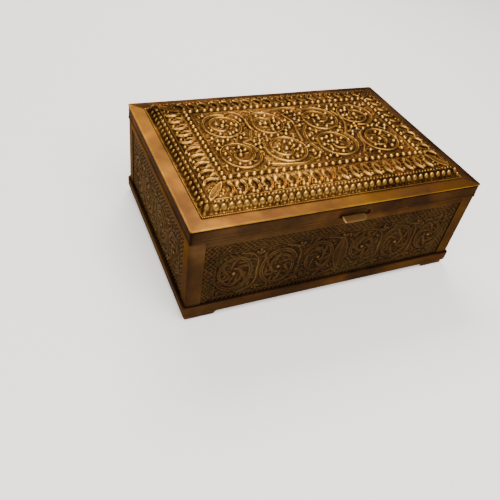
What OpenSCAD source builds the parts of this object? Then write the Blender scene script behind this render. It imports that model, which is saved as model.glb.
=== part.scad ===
// Vanity trinket box: a wooden box clad in sheet brass, with a raised, hinged lid.
// Origin: middle of the box, on the table. +X right, +Y back, +Z up. Millimetres.

/* [Lid] */
// Width of the lid, left to right
lid_w = 200; // [160:1:260]
// Depth of the lid, front to back
lid_d = 138.6; // [110:0.1:180]
// Height of the lid's flat border above the table
border_z = 71.5; // [60:0.5:110]
// Depth of the lid from the top of its border down to the seam
lid_h = 10.3; // [9:0.1:14]
// Width of the plain border around the raised panel
border_w = 10; // [8:0.5:14]
// Thickness of the border strips
border_t = 0.8; // [0.6:0.1:2]
// Corner radius of the border, seen from above
border_r = 1.5; // [1:0.5:4]
// Height of the raised panel above the border
raised_h = 8; // [6:0.5:9]
// How much wider the raised panel's bands are at the front and back
band_stretch = 1.1; // [1:0.05:1.3]
// How far the lid's skirt stands back from the edge of the border
skirt_inset = 0.4; // [0.4:0.1:1]
// Thickness of the board inside the lid
lid_board_t = 3; // [2:0.5:4]

/* [Body] */
// How far the body stands back from the edge of the lid
overhang = 0.5; // [0.5:0.1:2]
// Thickness of the sheet brass
sheet_t = 0.8; // [0.6:0.1:1]
// Thickness of the wooden walls
wall_t = 6; // [5:0.5:9]
// Thickness of the wooden floor
floor_t = 5; // [3:0.5:8]
// Width of each leg of the corner strips
corner_strip_w = 9.5; // [6:0.5:14]
// Height of the plain rail under the seam
top_rail_h = 3.3; // [3:0.1:6]
// Height of the plinth moulding
plinth_h = 8; // [6:0.5:12]
// How far the plinth stands out past the edge of the lid
plinth_out = 1; // [0:0.1:2]
// Corner radius of the plinth, seen from above
plinth_r = 2.5; // [2:0.5:6]

/* [Feet] */
// Height of the feet
foot_h = 3.5; // [2.5:0.5:8]
// Side of each foot at its top
foot_w = 21; // [16:1:28]

/* [Thumb lift] */
// Width of the thumb lift
lift_w = 16.5; // [10:0.5:22]
// How far the thumb lift sits to the right of the middle
lift_x = 4; // [-10:1:10]
// How far the thumb lift stands out from the skirt
lift_out = 4.3; // [3:0.1:4.5]
// Thickness of the thumb lift
lift_t = 1.3; // [1:0.1:1.6]

/* [Hinges] */
// Length of each hinge
hinge_len = 28; // [20:1:40]
// Distance of each hinge from the middle of the box
hinge_x = 55; // [35:1:70]
// Outer radius of the knuckles
knuckle_r = 1.6; // [1.4:0.1:1.8]
// Radius of the hinge pins
pin_r = 0.7; // [0.5:0.1:0.8]

/* [Hidden] */
$fn = 48;
half_w = lid_w / 2;
half_d = lid_d / 2;
cut = 1;                                // how far a cutting solid runs past a face
seam_gap = 0.3;                         // between the closed lid and the body
seam_z = border_z - lid_h;
body_top = seam_z - seam_gap / 2;
lid_bottom = seam_z + seam_gap / 2;

// Planes of the body, given as distances from its middle to the right and to the back.
frame_x = half_w - overhang;            // face of the corner strips and rails
frame_y = half_d - overhang;
sheet_x = frame_x - sheet_t;            // face of the ornamented sheets, under the strips
sheet_y = frame_y - sheet_t;
board_x = sheet_x - sheet_t;            // face of the wooden walls
board_y = sheet_y - sheet_t;
inner_x = board_x - wall_t;             // inside of the box
inner_y = board_y - wall_t;
strip_r = 1.5;                          // outer corner radius of the corner strips

plinth_x = half_w + plinth_out;         // face of the plinth
plinth_y = half_d + plinth_out;
plinth_top = foot_h + plinth_h;
plate_top = foot_h + sheet_t;           // top of the bottom plate
floor_top = plate_top + floor_t;

// Planes of the lid
skirt_x = half_w - skirt_inset;
skirt_y = half_d - skirt_inset;
batten_x = skirt_x - sheet_t;           // face of the wooden battens behind the skirts
batten_y = skirt_y - sheet_t;
strip_bottom = border_z - border_t;     // underside of the border strips
board_bottom = strip_bottom - lid_board_t;
strip_w = border_w + 2.5;               // the border strips run on under the raised panel
skirt_r = 1.6;

// Outer line of the raised panel: distance in from its foot, and share of its full height
raised_line = [[0, 0], [0, 0.07], [0.9, 0.09], [2.2, 0.33], [3.6, 0.6], [4.5, 0.675], [5.2, 0.69],
               [18.5, 0.975], [19.5, 1]];

// Thumb lift and the arched opening above it
lift_top = border_z - 8.5;
lift_r = 3.6;
lift_root = 2 * lift_r - lift_out + 0.1; // how far it reaches in behind the face of the skirt
lift_play = 0.1;                        // round its root, in the batten
arch_w = lift_w + 4.5;
arch_h = 4.8;
arch_side_h = 2.5;
arch_r = 25;
arch_pocket = 2.2;                      // depth of the opening in the batten behind the skirt

// Hinges
axis_y = half_d + 0.4;
axis_z = seam_z;
leaf_t = 0.8;
leaf_w = 7.6;                           // from the axis to the inner edge of a leaf
hinge_gap = 0.35;                       // between what turns and what stands still
pin_bore_r = pin_r + 0.05;
knuckles = 5;
knuckle_len = hinge_len / knuckles;
mortise_gap = 0.3;
screw_r = 0.75;
screw_head_r = 1.4;
screw_head_h = 0.45;
screw_len = 4.5;
screw_pitch = 9;
screw_y = axis_y - 5.6;

// Feet
foot_inset = 1.2;                       // from the face of the plinth
foot_slope = 3;                         // how far its inner sides lean in towards the bottom
foot_screw_r = 1.2;
foot_screw_head_r = 2.3;
foot_screw_head_h = 0.8;
foot_screw_sunk = 0.5;
foot_screw_top = floor_top - 1;

border_gold = [0.66, 0.45, 0.20];
relief_gold = [0.60, 0.43, 0.18];
side_bronze = [0.33, 0.22, 0.11];
plinth_bronze = [0.38, 0.25, 0.12];
hinge_brass = [0.62, 0.50, 0.26];
steel = [0.55, 0.53, 0.50];
cedar = [0.48, 0.27, 0.15];

// ---- shared shapes ----

// A box from its lowest to its highest corner
module block(low, high) {
    translate(low) cube(high - low);
}

// A rectangle about the middle, with round corners
module round_rectangle(half_x, half_y, r) {
    square([2 * half_x, 2 * (half_y - r)], center = true);
    square([2 * (half_x - r), 2 * half_y], center = true);
    for (sx = [-1, 1], sy = [-1, 1])
        translate([sx * (half_x - r), sy * (half_y - r)]) circle(r);
}

// The quarter of the plan that a front (0), right (1), back (2) or left (3) length takes, mitred at its ends
module mitre_wedge(side) {
    reach = half_d - 1;
    out = 5;
    corners = [[-half_w - out, -half_d - out], [half_w + out, -half_d - out],
               [half_w + out, half_d + out], [-half_w - out, half_d + out]];
    inner = [[-half_w + reach, -half_d + reach], [half_w - reach, -half_d + reach],
             [half_w - reach, half_d - reach], [-half_w + reach, half_d - reach]];
    next = (side + 1) % 4;
    polygon([corners[side], corners[next], inner[next], inner[side]]);
}

// A moulding whose section is drawn as [distance in from the lid's edge, height], run along one side and mitred
module moulding(side, section, half_x, half_y, r) {
    along_x = side % 2 == 0;
    edge = along_x ? half_d : half_w;
    length = 2 * (along_x ? half_x : half_y) + 2;
    low = min([for (p = section) p[1]]) - cut;
    high = max([for (p = section) p[1]]) + cut;
    intersection() {
        rotate([0, 0, side * 90]) rotate([90, 0, 90])
            linear_extrude(length, center = true)
                polygon([for (p = section) [p[0] - edge, p[1]]]);
        translate([0, 0, low]) linear_extrude(high - low) intersection() {
            mitre_wedge(side);
            round_rectangle(half_x, half_y, r);
        }
    }
}

// ---- body: wooden box ----

module back_leaf_mortises(low, high) {
    for (sx = [-1, 1])
        block([sx * hinge_x - hinge_len / 2 - mortise_gap, axis_y - leaf_w - mortise_gap, low],
              [sx * hinge_x + hinge_len / 2 + mortise_gap, half_d + cut, high]);
}

// Room for the knuckles in whatever stands behind the leaves
module knuckle_room(low, high) {
    for (sx = [-1, 1])
        block([sx * hinge_x - hinge_len / 2 - hinge_gap, axis_y - knuckle_r - hinge_gap, low],
              [sx * hinge_x + hinge_len / 2 + hinge_gap, half_d + cut, high]);
}

module each_screw_place() {
    for (sx = [-1, 1], i = [-1 : 1])
        translate([sx * hinge_x + i * screw_pitch, screw_y, 0]) children();
}

module front_board() {
    color(cedar) block([-board_x, -board_y, plate_top], [board_x, -inner_y, body_top]);
}

module back_board() {
    color(cedar) difference() {
        block([-board_x, inner_y, plate_top], [board_x, board_y, body_top]);
        back_leaf_mortises(body_top - leaf_t, body_top + cut);
        each_screw_place() translate([0, 0, body_top - screw_len]) cylinder(h = screw_len + cut, r = screw_r);
    }
}

module side_board(sx) {
    color(cedar) mirror([sx < 0 ? 1 : 0, 0, 0])
        block([inner_x, -inner_y, plate_top], [board_x, inner_y, body_top]);
}
module left_board() { side_board(-1); }
module right_board() { side_board(1); }

module each_foot_place() {
    for (sx = [-1, 1], sy = [-1, 1])
        translate([sx * (plinth_x - foot_inset - foot_w / 2), sy * (plinth_y - foot_inset - foot_w / 2), 0])
            children();
}

module floor_board() {
    color(cedar) difference() {
        block([-inner_x, -inner_y, plate_top], [inner_x, inner_y, floor_top]);
        each_foot_place() translate([0, 0, plate_top - cut])
            cylinder(h = foot_screw_top - plate_top + cut, r = foot_screw_r);
    }
}

module bottom_plate() {
    color(side_bronze) difference() {
        block([-sheet_x, -sheet_y, foot_h], [sheet_x, sheet_y, plate_top]);
        each_foot_place() translate([0, 0, foot_h - cut])
            cylinder(h = sheet_t + 2 * cut, r = foot_screw_r);
    }
}

// ---- body: sheet brass cladding ----

module front_relief() {
    color(side_bronze) block([-sheet_x, -sheet_y, plate_top], [sheet_x, -board_y, body_top]);
}

module back_relief() {
    color(side_bronze) difference() {
        block([-sheet_x, board_y, plate_top], [sheet_x, sheet_y, body_top]);
        knuckle_room(axis_z - knuckle_r - hinge_gap, body_top + cut);
        back_leaf_mortises(body_top - leaf_t, body_top + cut);
    }
}

module side_relief(sx) {
    color(side_bronze) mirror([sx < 0 ? 1 : 0, 0, 0])
        block([board_x, -board_y, plate_top], [sheet_x, board_y, body_top]);
}
module left_relief() { side_relief(-1); }
module right_relief() { side_relief(1); }

// An angle of sheet brass over one vertical corner, from the plinth to the seam
module corner_strip(sx, sy) {
    color(plinth_bronze) translate([0, 0, plinth_top]) linear_extrude(body_top - plinth_top)
        intersection() {
            difference() {
                round_rectangle(frame_x, frame_y, strip_r);
                square([2 * sheet_x, 2 * sheet_y], center = true);
            }
            translate([sx * (frame_x - corner_strip_w / 2 + cut / 2),
                       sy * (frame_y - corner_strip_w / 2 + cut / 2)])
                square(corner_strip_w + cut, center = true);
        }
}
module corner_strip_front_left() { corner_strip(-1, -1); }
module corner_strip_front_right() { corner_strip(1, -1); }
module corner_strip_back_left() { corner_strip(-1, 1); }
module corner_strip_back_right() { corner_strip(1, 1); }

// A plain rail under the seam, between two corner strips
module top_rail(along_x, s) {
    half_len = (along_x ? frame_x : frame_y) - corner_strip_w;
    low = body_top - top_rail_h;
    color(plinth_bronze) difference() {
        if (along_x) block([-half_len, min(s * sheet_y, s * frame_y), low],
                           [half_len, max(s * sheet_y, s * frame_y), body_top]);
        else block([min(s * sheet_x, s * frame_x), -half_len, low],
                   [max(s * sheet_x, s * frame_x), half_len, body_top]);
        knuckle_room(axis_z - knuckle_r - hinge_gap, body_top + cut);
        back_leaf_mortises(body_top - leaf_t, body_top + cut);
    }
}
module top_rail_front() { top_rail(true, -1); }
module top_rail_back() { top_rail(true, 1); }
module top_rail_left() { top_rail(false, -1); }
module top_rail_right() { top_rail(false, 1); }

// ---- plinth and feet ----

plinth_in = overhang + sheet_t;         // back of the plinth, against the sheets
plinth_round = 1.6;                     // lower edge
plinth_arris = 0.6;                     // upper edge
plinth_section = concat(
    [[plinth_in, foot_h]],
    [for (a = [0 : 15 : 90])
        [plinth_round * (1 - sin(a)) - plinth_out, foot_h + plinth_round * (1 - cos(a))]],
    [for (a = [0 : 30 : 90])
        [plinth_arris * (1 - cos(a)) - plinth_out, plinth_top - plinth_arris * (1 - sin(a))]],
    [[plinth_in, plinth_top]]);

module plinth(side) {
    color(plinth_bronze) moulding(side, plinth_section, plinth_x, plinth_y, plinth_r);
}
module plinth_front() { plinth(0); }
module plinth_right() { plinth(1); }
module plinth_back() { plinth(2); }
module plinth_left() { plinth(3); }

// Outline of a foot across one direction: upright outside, leaning in on the inside
module foot_outline() {
    polygon([[-foot_w / 2 + foot_slope, 0], [foot_w / 2 - 0.8, 0], [foot_w / 2, 1],
             [foot_w / 2, foot_h], [-foot_w / 2, foot_h]]);
}

module foot(sx, sy) {
    corner_r = plinth_r;
    half = foot_w / 2;
    color(plinth_bronze)
        translate([sx * (plinth_x - foot_inset - half), sy * (plinth_y - foot_inset - half), 0])
            mirror([sx < 0 ? 1 : 0, 0, 0]) mirror([0, sy < 0 ? 1 : 0, 0]) difference() {
                intersection() {
                    rotate([90, 0, 0]) linear_extrude(foot_w + 2, center = true) foot_outline();
                    rotate([90, 0, 90]) linear_extrude(foot_w + 2, center = true) foot_outline();
                    linear_extrude(foot_h) union() {
                        square([2 * half, 2 * half - 2 * corner_r], center = true);
                        translate([-half, -half]) square([2 * half - corner_r, 2 * half]);
                        translate([half - corner_r, half - corner_r]) circle(corner_r);
                        translate([-half, -half]) square([2 * half, half]);
                    }
                }
                translate([0, 0, -cut]) cylinder(h = foot_h + 2 * cut, r = foot_screw_r);
                translate([0, 0, -cut])
                    cylinder(h = foot_screw_sunk + foot_screw_head_h + cut, r = foot_screw_head_r);
            }
}
module foot_front_left() { foot(-1, -1); }
module foot_front_right() { foot(1, -1); }
module foot_back_left() { foot(-1, 1); }
module foot_back_right() { foot(1, 1); }

module foot_screws() {
    color(steel) each_foot_place() {
        translate([0, 0, foot_screw_sunk]) cylinder(h = foot_screw_head_h, r = foot_screw_head_r);
        translate([0, 0, foot_screw_sunk]) cylinder(h = foot_screw_top - foot_screw_sunk, r = foot_screw_r);
    }
}

// ---- hinges ----

// A leaf with every other knuckle. up is 1 for the lid's leaf and -1 for the body's; first is its first knuckle.
module hinge_leaf(sx, up, first) {
    near = seam_gap / 2;
    color(hinge_brass) translate([sx * hinge_x, axis_y, axis_z]) difference() {
        union() {
            difference() {
                block([-hinge_len / 2, -leaf_w, min(up * near, up * (near + leaf_t))],
                      [hinge_len / 2, 0, max(up * near, up * (near + leaf_t))]);
                for (k = [0 : knuckles - 1])
                    if (k % 2 != first)
                        translate([-hinge_len / 2 + k * knuckle_len - hinge_gap / 2,
                                   -knuckle_r - hinge_gap, -knuckle_r - cut])
                            cube([knuckle_len + hinge_gap, 2 * knuckle_r + cut, 2 * (knuckle_r + cut)]);
            }
            for (k = [first : 2 : knuckles - 1])
                translate([-hinge_len / 2 + k * knuckle_len + (k == 0 ? 0 : hinge_gap / 2), 0, 0])
                    rotate([0, 90, 0])
                        cylinder(h = knuckle_len - hinge_gap * (k == 0 || k == knuckles - 1 ? 0.5 : 1),
                                 r = knuckle_r);
        }
        translate([-hinge_len / 2 - cut, 0, 0]) rotate([0, 90, 0])
            cylinder(h = hinge_len + 2 * cut, r = pin_bore_r);
        for (i = [-1 : 1]) translate([i * screw_pitch, screw_y - axis_y, 0]) {
            translate([0, 0, -knuckle_r]) cylinder(h = 2 * knuckle_r, r = screw_r);
            translate([0, 0, up > 0 ? 0 : -near - screw_head_h])
                cylinder(h = near + screw_head_h, r = screw_head_r);
        }
    }
}
module body_hinge_leaf_left() { hinge_leaf(-1, -1, 0); }
module body_hinge_leaf_right() { hinge_leaf(1, -1, 0); }
module lid_hinge_leaf_left() { hinge_leaf(-1, 1, 1); }
module lid_hinge_leaf_right() { hinge_leaf(1, 1, 1); }

module hinge_pin(sx) {
    color(hinge_brass) translate([sx * hinge_x - hinge_len / 2, axis_y, axis_z])
        rotate([0, 90, 0]) cylinder(h = hinge_len, r = pin_r);
}
module hinge_pin_left() { hinge_pin(-1); }
module hinge_pin_right() { hinge_pin(1); }

// Countersunk screws, flush with the leaves
module body_leaf_screws() {
    color(hinge_brass) each_screw_place() {
        translate([0, 0, body_top - screw_head_h]) cylinder(h = screw_head_h, r = screw_head_r);
        translate([0, 0, body_top - screw_len]) cylinder(h = screw_len, r = screw_r);
    }
}
module lid_leaf_screws() {
    color(hinge_brass) each_screw_place() {
        translate([0, 0, lid_bottom]) cylinder(h = screw_head_h, r = screw_head_r);
        translate([0, 0, lid_bottom]) cylinder(h = screw_len, r = screw_r);
    }
}

// ---- lid: border, skirts and raised panel ----

module lid_border(side) {
    color(border_gold) translate([0, 0, strip_bottom]) linear_extrude(border_t) intersection() {
        difference() {
            round_rectangle(half_w, half_d, border_r);
            square([lid_w - 2 * strip_w, lid_d - 2 * strip_w], center = true);
        }
        mitre_wedge(side);
    }
}
module lid_border_front() { lid_border(0); }
module lid_border_right() { lid_border(1); }
module lid_border_back() { lid_border(2); }
module lid_border_left() { lid_border(3); }

// A plain band with a fine line, and a small bead that runs along its lower edge
line_out = skirt_inset - 0.2;
bead_out = skirt_inset - 0.35;
skirt_section = [[skirt_inset + sheet_t, lid_bottom], [bead_out, lid_bottom], [bead_out, lid_bottom + 1.4],
                 [skirt_inset, lid_bottom + 1.7], [skirt_inset, lid_bottom + 2.4],
                 [line_out, lid_bottom + 2.5], [line_out, lid_bottom + 2.9],
                 [skirt_inset, lid_bottom + 3.0], [skirt_inset, strip_bottom],
                 [skirt_inset + sheet_t, strip_bottom]];

module skirt(side) {
    moulding(side, skirt_section, half_w - bead_out, half_d - bead_out, skirt_r);
}

// Outline of the arched opening above the thumb lift, drawn on the front
module lift_arch() {
    intersection() {
        translate([-arch_w / 2, lift_top]) square([arch_w, arch_h]);
        union() {
            translate([-arch_w / 2, lift_top]) square([arch_w, arch_side_h]);
            translate([0, lift_top + arch_h - arch_r]) circle(arch_r, $fn = 96);
        }
    }
}

module lift_openings(depth, play) {
    translate([lift_x, -skirt_y + depth, 0]) rotate([90, 0, 0]) linear_extrude(depth + cut) lift_arch();
    block([lift_x - lift_w / 2 - play, -skirt_y - cut, lift_top - lift_t - play],
          [lift_x + lift_w / 2 + play, -skirt_y + lift_root + play, lift_top + play]);
}

module lid_skirt_front() {
    color(side_bronze) difference() {
        skirt(0);
        lift_openings(sheet_t + arch_pocket, 0);
    }
}
module lid_skirt_back() {
    color(side_bronze) difference() {
        skirt(2);
        knuckle_room(lid_bottom - cut, axis_z + knuckle_r + hinge_gap);
        back_leaf_mortises(lid_bottom - cut, lid_bottom + leaf_t);
    }
}
module lid_skirt_right() { color(side_bronze) skirt(1); }
module lid_skirt_left() { color(side_bronze) skirt(3); }

// The thumb lift: a tongue with round outer corners, let into the skirt and the batten
module thumb_lift() {
    front = -skirt_y - lift_out;
    color(border_gold) translate([lift_x, 0, lift_top - lift_t]) linear_extrude(lift_t) {
        translate([-lift_w / 2, front + lift_r]) square([lift_w, lift_out - lift_r + lift_root]);
        translate([-lift_w / 2 + lift_r, front]) square([lift_w - 2 * lift_r, lift_out]);
        for (sx = [-1, 1]) translate([sx * (lift_w / 2 - lift_r), front + lift_r]) circle(lift_r);
    }
}

// The solid form of the raised panel, shrunk by inset and lowered by drop
module raised_form(inset, drop) {
    foot_x = half_w - border_w - inset;
    foot_y = half_d - border_w - inset;
    base = border_z - drop;
    rise = [for (p = raised_line) p[1] * raised_h];
    left = [for (i = [0 : len(raised_line) - 1]) [raised_line[i][0] - foot_x, rise[i]]];
    front = [for (i = [0 : len(raised_line) - 1]) [raised_line[i][0] * band_stretch - foot_y, rise[i]]];
    right = [for (i = [len(left) - 1 : -1 : 0]) [-left[i][0], left[i][1]]];
    back = [for (i = [len(front) - 1 : -1 : 0]) [-front[i][0], front[i][1]]];
    translate([0, 0, base]) intersection() {
        rotate([90, 0, 0]) linear_extrude(lid_d, center = true) polygon(concat(left, right));
        rotate([90, 0, 90]) linear_extrude(lid_w, center = true) polygon(concat(front, back));
    }
}

module lid_relief() {
    color(relief_gold) difference() {
        raised_form(0, 0);
        raised_form(sheet_t + 0.1, sheet_t);
    }
}

// Milled wire laid around the foot of the raised panel
module lid_milled_wire() {
    wire_w = 0.9;
    wire_h = 0.8;
    foot_x = half_w - border_w;
    foot_y = half_d - border_w;
    color(relief_gold) translate([0, 0, border_z]) linear_extrude(wire_h) difference() {
        square([2 * (foot_x + wire_w), 2 * (foot_y + wire_w)], center = true);
        square([2 * foot_x, 2 * foot_y], center = true);
    }
}

// ---- lid: wooden lining ----

module lid_board() {
    color(cedar) block([-inner_x, -inner_y, board_bottom], [inner_x, inner_y, strip_bottom]);
}

module lid_batten_front() {
    color(cedar) difference() {
        block([-batten_x, -batten_y, lid_bottom], [batten_x, -inner_y, strip_bottom]);
        lift_openings(sheet_t + arch_pocket, lift_play);
    }
}
module lid_batten_back() {
    color(cedar) difference() {
        block([-batten_x, inner_y, lid_bottom], [batten_x, batten_y, strip_bottom]);
        back_leaf_mortises(lid_bottom - cut, lid_bottom + leaf_t);
        knuckle_room(lid_bottom - cut, axis_z + knuckle_r + hinge_gap);
        each_screw_place() translate([0, 0, lid_bottom - cut]) cylinder(h = screw_len + cut, r = screw_r);
    }
}
module side_batten(sx) {
    color(cedar) mirror([sx < 0 ? 1 : 0, 0, 0])
        block([inner_x, -inner_y, lid_bottom], [batten_x, inner_y, strip_bottom]);
}
module lid_batten_left() { side_batten(-1); }
module lid_batten_right() { side_batten(1); }

front_board();
back_board();
left_board();
right_board();
floor_board();
bottom_plate();
front_relief();
back_relief();
left_relief();
right_relief();
corner_strip_front_left();
corner_strip_front_right();
corner_strip_back_left();
corner_strip_back_right();
top_rail_front();
top_rail_back();
top_rail_left();
top_rail_right();
plinth_front();
plinth_back();
plinth_left();
plinth_right();
foot_front_left();
foot_front_right();
foot_back_left();
foot_back_right();
foot_screws();
body_hinge_leaf_left();
body_hinge_leaf_right();
hinge_pin_left();
hinge_pin_right();
body_leaf_screws();
lid_border_front();
lid_border_back();
lid_border_left();
lid_border_right();
lid_relief();
lid_milled_wire();
lid_skirt_front();
lid_skirt_back();
lid_skirt_left();
lid_skirt_right();
lid_batten_front();
lid_batten_back();
lid_batten_left();
lid_batten_right();
lid_board();
thumb_lift();
lid_hinge_leaf_left();
lid_hinge_leaf_right();
lid_leaf_screws();
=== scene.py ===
"""Looks of the vanity trinket box: hand-raised brass over a wooden box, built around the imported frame.

Shapes are worked out in millimetres and written to the meshes in metres. Heights of the raised
ornament are drawn on a flat canvas first, then read off by the mesh that carries them.
"""

import math

import bpy
import numpy as np
from mathutils import Matrix, Vector


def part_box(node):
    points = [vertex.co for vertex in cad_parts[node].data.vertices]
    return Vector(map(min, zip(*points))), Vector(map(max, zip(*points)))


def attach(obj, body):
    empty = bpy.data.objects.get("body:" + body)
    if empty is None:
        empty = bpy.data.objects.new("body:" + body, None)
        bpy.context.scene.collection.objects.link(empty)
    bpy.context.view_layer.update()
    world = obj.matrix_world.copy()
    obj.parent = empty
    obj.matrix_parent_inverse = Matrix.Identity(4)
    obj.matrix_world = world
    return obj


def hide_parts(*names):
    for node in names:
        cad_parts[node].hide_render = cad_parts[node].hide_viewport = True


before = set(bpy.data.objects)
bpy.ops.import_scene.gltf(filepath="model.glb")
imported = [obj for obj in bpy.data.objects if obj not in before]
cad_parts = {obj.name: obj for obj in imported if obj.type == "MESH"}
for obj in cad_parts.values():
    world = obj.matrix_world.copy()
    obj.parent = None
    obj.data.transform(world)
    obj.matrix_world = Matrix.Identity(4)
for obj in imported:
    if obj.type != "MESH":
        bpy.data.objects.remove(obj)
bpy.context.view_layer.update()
MM = 0.001
SIDES = ("front", "right", "back", "left")
LONG = ("front", "back")
CORNERS = ((-1, -1), (-1, 1), (1, -1), (1, 1))


def box_mm(node):
    """The lowest and highest corners of a CAD node, in millimetres."""
    low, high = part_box(node)
    return np.array(low) / MM, np.array(high) / MM


# ---- planes of the box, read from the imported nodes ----
BORDER_LOW, BORDER_HIGH = box_mm("lid_border_front")
HALF_W = box_mm("lid_border_right")[1][0]
HALF_D = -BORDER_LOW[1]
BORDER_Z = BORDER_HIGH[2]
STRIP_BOTTOM = BORDER_LOW[2]
FOOT_X, FOOT_Y, RAISED_TOP = box_mm("lid_relief")[1]
RAISED_H = RAISED_TOP - BORDER_Z
SHEET_LOW, SHEET_HIGH = box_mm("front_relief")
SHEET_T = SHEET_HIGH[1] - SHEET_LOW[1]
SHEET_X = SHEET_HIGH[0]
SHEET_Y = -SHEET_LOW[1]
BODY_TOP = SHEET_HIGH[2]
STRIP_LOW, STRIP_HIGH = box_mm("corner_strip_front_left")
STRIP_W = STRIP_HIGH[0] - STRIP_LOW[0]
FRAME_X, FRAME_Y = -STRIP_LOW[:2]
RAIL_BOTTOM = box_mm("top_rail_front")[0][2]
PLINTH_LOW, PLINTH_HIGH = box_mm("plinth_front")
PLINTH_X = box_mm("plinth_right")[1][0]
PLINTH_Y = -PLINTH_LOW[1]
SKIRT_LOW, SKIRT_HIGH = box_mm("lid_skirt_front")
LIFT_LOW, LIFT_HIGH = box_mm("thumb_lift")

# ---- sizes of the detail, in mm ----
# The front and back bands of the panel are this much wider than the side ones
BAND_STRETCH = 1.1
# Section of the raised panel: distances in from its foot, and heights over the border
RAISED_LINE = ((0, 0.9, 2.2, 3.6, 4.5, 5.2, 18.5, 19.5),
               RAISED_H * np.array((0.07, 0.09, 0.33, 0.60, 0.675, 0.69, 0.975, 1.0)))
# Distances in from its foot at which its step ends and its field starts
STEP_END, FIELD_EDGE = 6.3, 23.8
# Corners of the box, seen from above
BORDER_RADIUS, SKIRT_RADIUS, PLINTH_RADIUS = 1.5, 1.6, 2.5
# The milled wire: width, which is its radius at the corners too, and distance between notches
WIRE_WIDTH, NOTCH_PITCH = 0.9, 1.15
# Room left round a hinge leaf
LEAF_GAP = 0.35
# The thumb lift and the arch over it
LIFT_X = (LIFT_HIGH[0] + LIFT_LOW[0]) / 2
LIFT_HALF = (LIFT_HIGH[0] - LIFT_LOW[0]) / 2
ARCH_HALF = LIFT_HALF + 2.25
ARCH_RISE = 4.8
ARCH_SHOULDER = 2.5
ARCH_RADIUS = 25.0


def held(value):
    """The value kept from 0 to 1."""
    return np.clip(value, 0, 1)


def joined(*axes):
    """Points from their coordinates, each one number or an array."""
    return np.stack(np.broadcast_arrays(*axes), -1)


# ---- materials ----
class Surface:
    """A new material and the nodes that feed its shader."""

    def __init__(self, name):
        self.material = bpy.data.materials.new(name)
        self.material.use_nodes = True
        self.tree = self.material.node_tree
        self.shader = self.tree.nodes["Principled BSDF"]
        self.place = self.node("ShaderNodeTexCoord").outputs["Object"]

    def put(self, node, inputs):
        """A socket given as an input is linked, and anything else is set on the node's own socket."""
        for key, value in inputs.items():
            if isinstance(value, bpy.types.NodeSocket):
                self.tree.links.new(value, node.inputs[key])
            else:
                node.inputs[key].default_value = value

    def node(self, kind, props=None, inputs=None):
        new = self.tree.nodes.new(kind)
        for key, value in (props or {}).items():
            setattr(new, key, value)
        self.put(new, inputs or {})
        return new

    def noise(self, scale, detail=3.0, rough=0.55, at=None):
        """Noise with `scale` features to the metre."""
        inputs = {"Vector": at or self.place, "Scale": scale, "Detail": detail, "Roughness": rough}
        return self.node("ShaderNodeTexNoise", None, inputs).outputs["Fac"]

    def stretched(self, scale):
        """The place, with each axis multiplied by its own scale."""
        return self.node("ShaderNodeMapping", None, {"Vector": self.place, "Scale": scale}).outputs[0]

    def math(self, operation, a, b, clamp=False):
        props = {"operation": operation, "use_clamp": clamp}
        return self.node("ShaderNodeMath", props, {0: a, 1: b}).outputs[0]

    def add(self, a, b, clamp=False):
        return self.math("ADD", a, b, clamp)

    def times(self, a, b):
        return self.math("MULTIPLY", a, b)

    def swing(self, value, size):
        """The value's distance from its middle, 0.5, times `size`."""
        return self.times(self.math("SUBTRACT", value, 0.5), size)

    def spread(self, value, low, high, to_low, to_high):
        """`value` from low..high to to_low..to_high, held at both ends."""
        inputs = {"Value": value, "From Min": low, "From Max": high, "To Min": to_low, "To Max": to_high}
        return self.node("ShaderNodeMapRange", {"clamp": True}, inputs).outputs["Result"]

    def mix(self, factor, a, b):
        return self.node("ShaderNodeMix", {"data_type": "RGBA"}, {0: factor, 6: a, 7: b}).outputs[2]

    def ramp(self, value, stops):
        """A colour ramp through (position, (r, g, b)) stops."""
        new = self.node("ShaderNodeValToRGB", None, {"Fac": value})
        elements = new.color_ramp.elements
        while len(elements) < len(stops):
            elements.new(0.5)
        for element, (place, colour) in zip(elements, stops):
            element.position = place
            element.color = (*colour, 1.0)
        return new.outputs["Color"]

    def finish(self, inputs, strength, distance, height):
        """Feeds the shader, bumps it, and gives the material."""
        bump = {"Strength": strength, "Distance": distance, "Height": height}
        normal = self.node("ShaderNodeBump", None, bump).outputs["Normal"]
        self.put(self.shader, {**inputs, "Normal": normal})
        return self.material


# Old lacquer and grime keep the metal from turning white where it is seen at a low angle
GRAZING_TINT = (0.64, 0.57, 0.50)


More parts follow.
